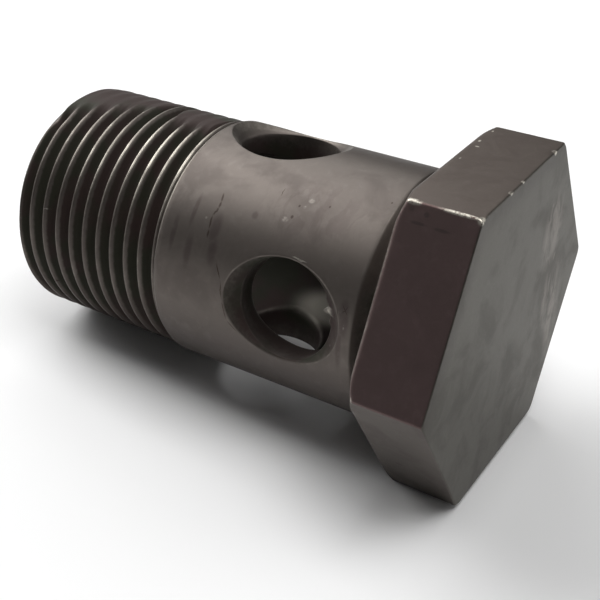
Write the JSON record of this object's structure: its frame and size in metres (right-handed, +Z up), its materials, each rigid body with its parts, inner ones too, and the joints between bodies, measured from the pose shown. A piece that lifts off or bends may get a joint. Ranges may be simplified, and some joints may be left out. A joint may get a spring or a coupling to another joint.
{
  "type": "banjo bolt",
  "caption": "Hollow hexagon-head banjo bolt with a bored, cross-drilled plain shank and a fine-threaded end.",
  "frame": {"origin": "on the surface that the bolt lies on, under the middle of its bounding box", "axes": "+X along the bolt towards its head, rising with the axis by its resting tilt of about 4 degrees; +Z up; the bolt rests on one flat of its head and the rim of its threaded end"},
  "size_m": [0.047, 0.0312, 0.0274],
  "materials": {
    "steel": "dark oiled steel"
  },
  "bodies": {
    "root": {"banjo_bolt": "steel"}
  },
  "joints": []
}
